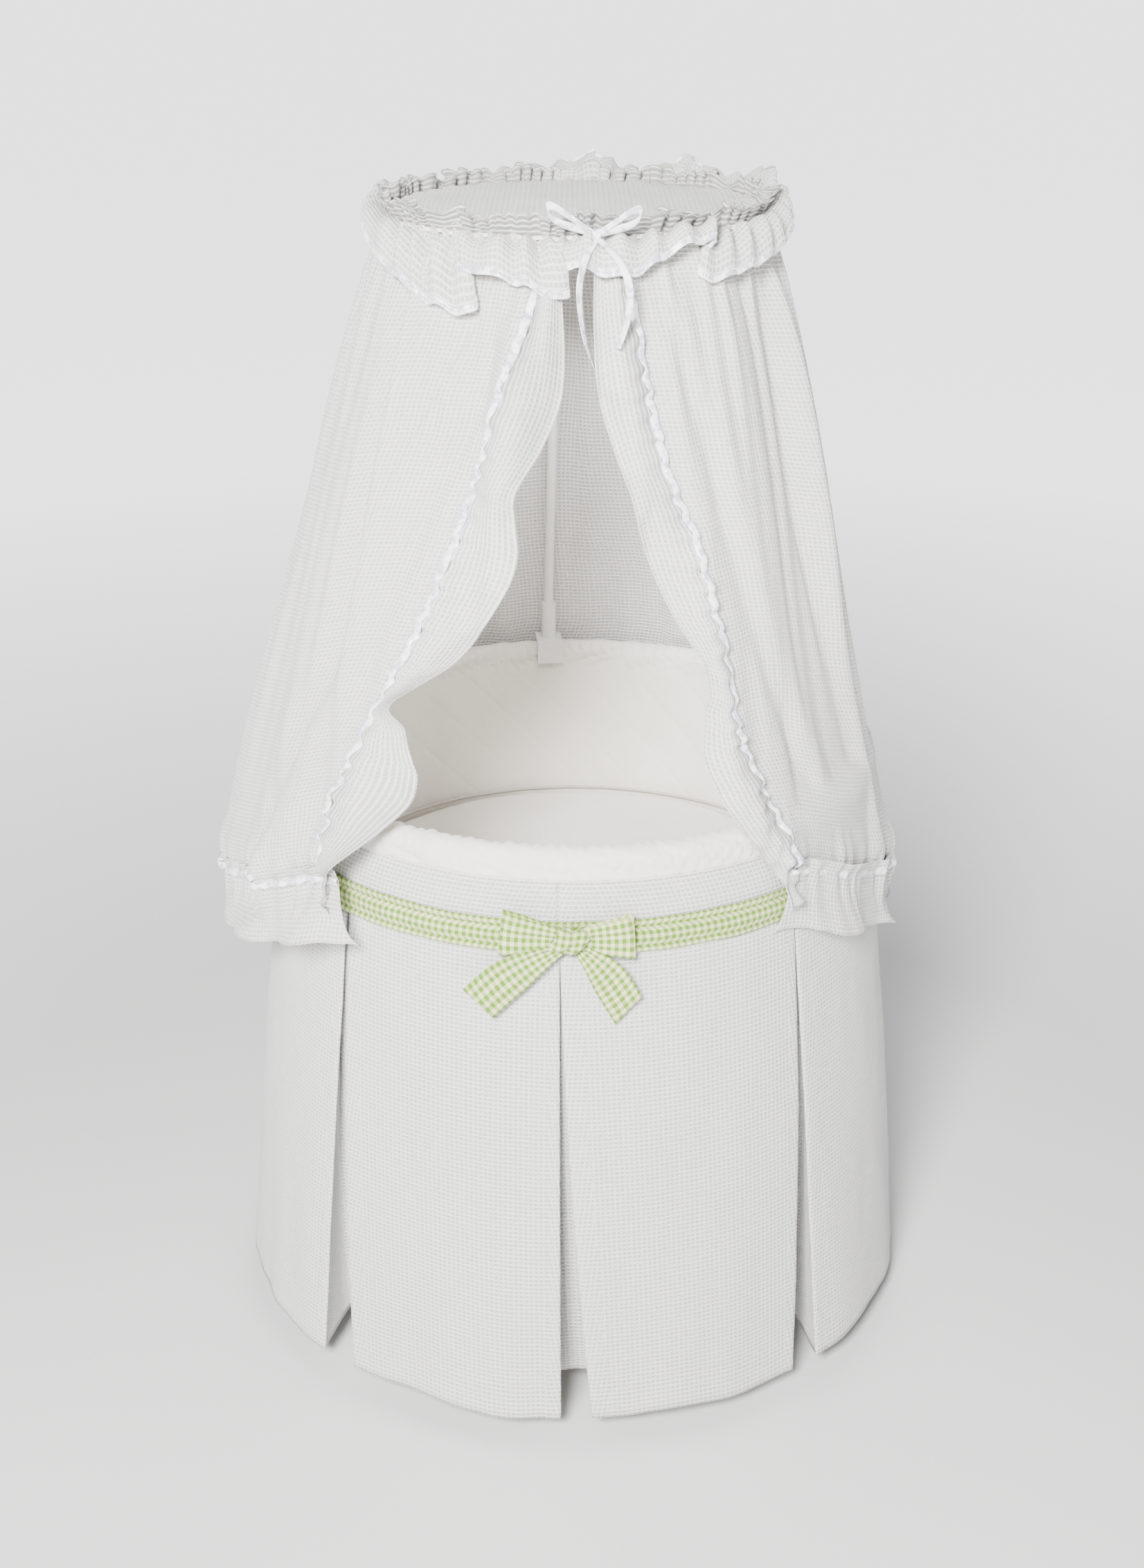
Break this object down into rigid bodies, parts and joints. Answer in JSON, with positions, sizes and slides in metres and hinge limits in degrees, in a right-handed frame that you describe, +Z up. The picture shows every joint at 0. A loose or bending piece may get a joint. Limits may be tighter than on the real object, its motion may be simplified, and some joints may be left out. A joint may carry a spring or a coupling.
{
  "type": "bassinet on stand",
  "caption": "round skirted bassinet on a wheeled wooden stand, with a tall gathered drape canopy that lifts off its rear pole clamp, a storage shelf under the skirt and a padded mattress",
  "frame": {"origin": "on the floor, under the middle of the round basket", "axes": "+Z up, -Y towards the front, where the canopy opens, +X to the right as seen from the front"},
  "size_m": [0.88, 0.8794, 1.42],
  "materials": {
    "white_oak": "painted white, satin",
    "birch_board": "clear lacquer",
    "zinc_steel": "zinc plated",
    "white_plastic": "moulded",
    "grey_plastic": "moulded",
    "grey_rubber": "matt",
    "white_steel": "powder coat",
    "white_knob": "moulded",
    "waffle_cotton": "waffle weave",
    "plain_cotton": "plain weave",
    "gingham": "woven check",
    "satin_ribbon": "satin"
  },
  "bodies": {
    "stand": {"leg_front_right": "white_oak", "leg_rear_right": "white_oak", "leg_rear_left": "white_oak", "leg_front_left": "white_oak", "cross_rail_lower": "white_oak", "cross_rail_upper": "white_oak", "basket_board": "birch_board", "storage_shelf": "birch_board", "basket_wall": "birch_board", "basket_foot_band": "birch_board", "rim_hoop": "birch_board", "frame_bolts_and_nuts": "zinc_steel", "leg_sockets": "zinc_steel", "shelf_brackets": "zinc_steel", "wood_screws": "zinc_steel", "pole_clamp": "white_steel", "skirt_band": "waffle_cotton", "skirt_panel_1": "waffle_cotton", "skirt_panel_2": "waffle_cotton", "skirt_panel_3": "waffle_cotton", "skirt_panel_4": "waffle_cotton", "skirt_panel_5": "waffle_cotton", "skirt_panel_6": "waffle_cotton", "skirt_panel_7": "waffle_cotton", "skirt_panel_8": "waffle_cotton", "pleat_backs": "waffle_cotton", "bumper_liner": "plain_cotton", "mattress_pad": "plain_cotton", "sash": "gingham", "sash_bow": "gingham"},
    "canopy": {"canopy_pole_lower": "white_steel", "canopy_pole_upper": "white_steel", "canopy_hoop": "white_steel", "canopy_top": "waffle_cotton", "canopy_valance": "waffle_cotton", "drape_back": "waffle_cotton", "drape_left": "waffle_cotton", "drape_right": "waffle_cotton", "drape_ruffle_left": "waffle_cotton", "drape_ruffle_right": "waffle_cotton", "ribbon_bow": "satin_ribbon"},
    "fork_front_right": {"caster_axle_front_right": "zinc_steel", "caster_fork_front_right": "white_plastic"},
    "fork_rear_right": {"caster_axle_rear_right": "zinc_steel", "caster_fork_rear_right": "white_plastic"},
    "fork_rear_left": {"caster_axle_rear_left": "zinc_steel", "caster_fork_rear_left": "white_plastic"},
    "fork_front_left": {"caster_axle_front_left": "zinc_steel", "caster_fork_front_left": "white_plastic"},
    "wheel_front_right": {"caster_wheel_front_right": "white_plastic", "caster_tyre_front_right": "grey_rubber"},
    "wheel_rear_right": {"caster_wheel_rear_right": "white_plastic", "caster_tyre_rear_right": "grey_rubber"},
    "wheel_rear_left": {"caster_wheel_rear_left": "white_plastic", "caster_tyre_rear_left": "grey_rubber"},
    "wheel_front_left": {"caster_wheel_front_left": "white_plastic", "caster_tyre_front_left": "grey_rubber"},
    "brake_front_right": {"brake_lever_front_right": "grey_plastic"},
    "brake_front_left": {"brake_lever_front_left": "grey_plastic"},
    "thumb_screw": {"clamp_screw": "white_knob"}
  },
  "joints": [
    {"name": "canopy_lift", "type": "slide", "parent": "stand", "child": "canopy", "axis": [0, 0, 1], "range_m": [0, 0.12]},
    {"name": "thumb_screw_turn", "type": "hinge", "parent": "stand", "child": "thumb_screw", "pos_m": [-0.03911, 0.37215, 0.702], "axis": [-0.1045, 0.9945, 0], "range_deg": [-180, 180]},
    {"name": "swivel_front_right", "type": "hinge", "parent": "stand", "child": "fork_front_right", "pos_m": [0.20153, -0.20153, 0.078], "axis": [0, 0, 1], "continuous": true},
    {"name": "roll_front_right", "type": "hinge", "parent": "fork_front_right", "child": "wheel_front_right", "pos_m": [0.21567, -0.21567, 0.025], "axis": [-0.7071, -0.7071, 0], "continuous": true},
    {"name": "brake_front_right", "type": "hinge", "parent": "fork_front_right", "child": "brake_front_right", "pos_m": [0.2185, -0.2185, 0.057], "axis": [0.7071, 0.7071, 0], "range_deg": [0, 20]},
    {"name": "swivel_rear_right", "type": "hinge", "parent": "stand", "child": "fork_rear_right", "pos_m": [0.20153, 0.20153, 0.078], "axis": [0, 0, 1], "continuous": true},
    {"name": "roll_rear_right", "type": "hinge", "parent": "fork_rear_right", "child": "wheel_rear_right", "pos_m": [0.21567, 0.21567, 0.025], "axis": [0.7071, -0.7071, 0], "continuous": true},
    {"name": "swivel_rear_left", "type": "hinge", "parent": "stand", "child": "fork_rear_left", "pos_m": [-0.20153, 0.20153, 0.078], "axis": [0, 0, 1], "continuous": true},
    {"name": "roll_rear_left", "type": "hinge", "parent": "fork_rear_left", "child": "wheel_rear_left", "pos_m": [-0.21567, 0.21567, 0.025], "axis": [0.7071, 0.7071, 0], "continuous": true},
    {"name": "swivel_front_left", "type": "hinge", "parent": "stand", "child": "fork_front_left", "pos_m": [-0.20153, -0.20153, 0.078], "axis": [0, 0, 1], "continuous": true},
    {"name": "roll_front_left", "type": "hinge", "parent": "fork_front_left", "child": "wheel_front_left", "pos_m": [-0.21567, -0.21567, 0.025], "axis": [-0.7071, 0.7071, 0], "continuous": true},
    {"name": "brake_front_left", "type": "hinge", "parent": "fork_front_left", "child": "brake_front_left", "pos_m": [-0.2185, -0.2185, 0.057], "axis": [0.7071, -0.7071, 0], "range_deg": [0, 20]}
  ]
}
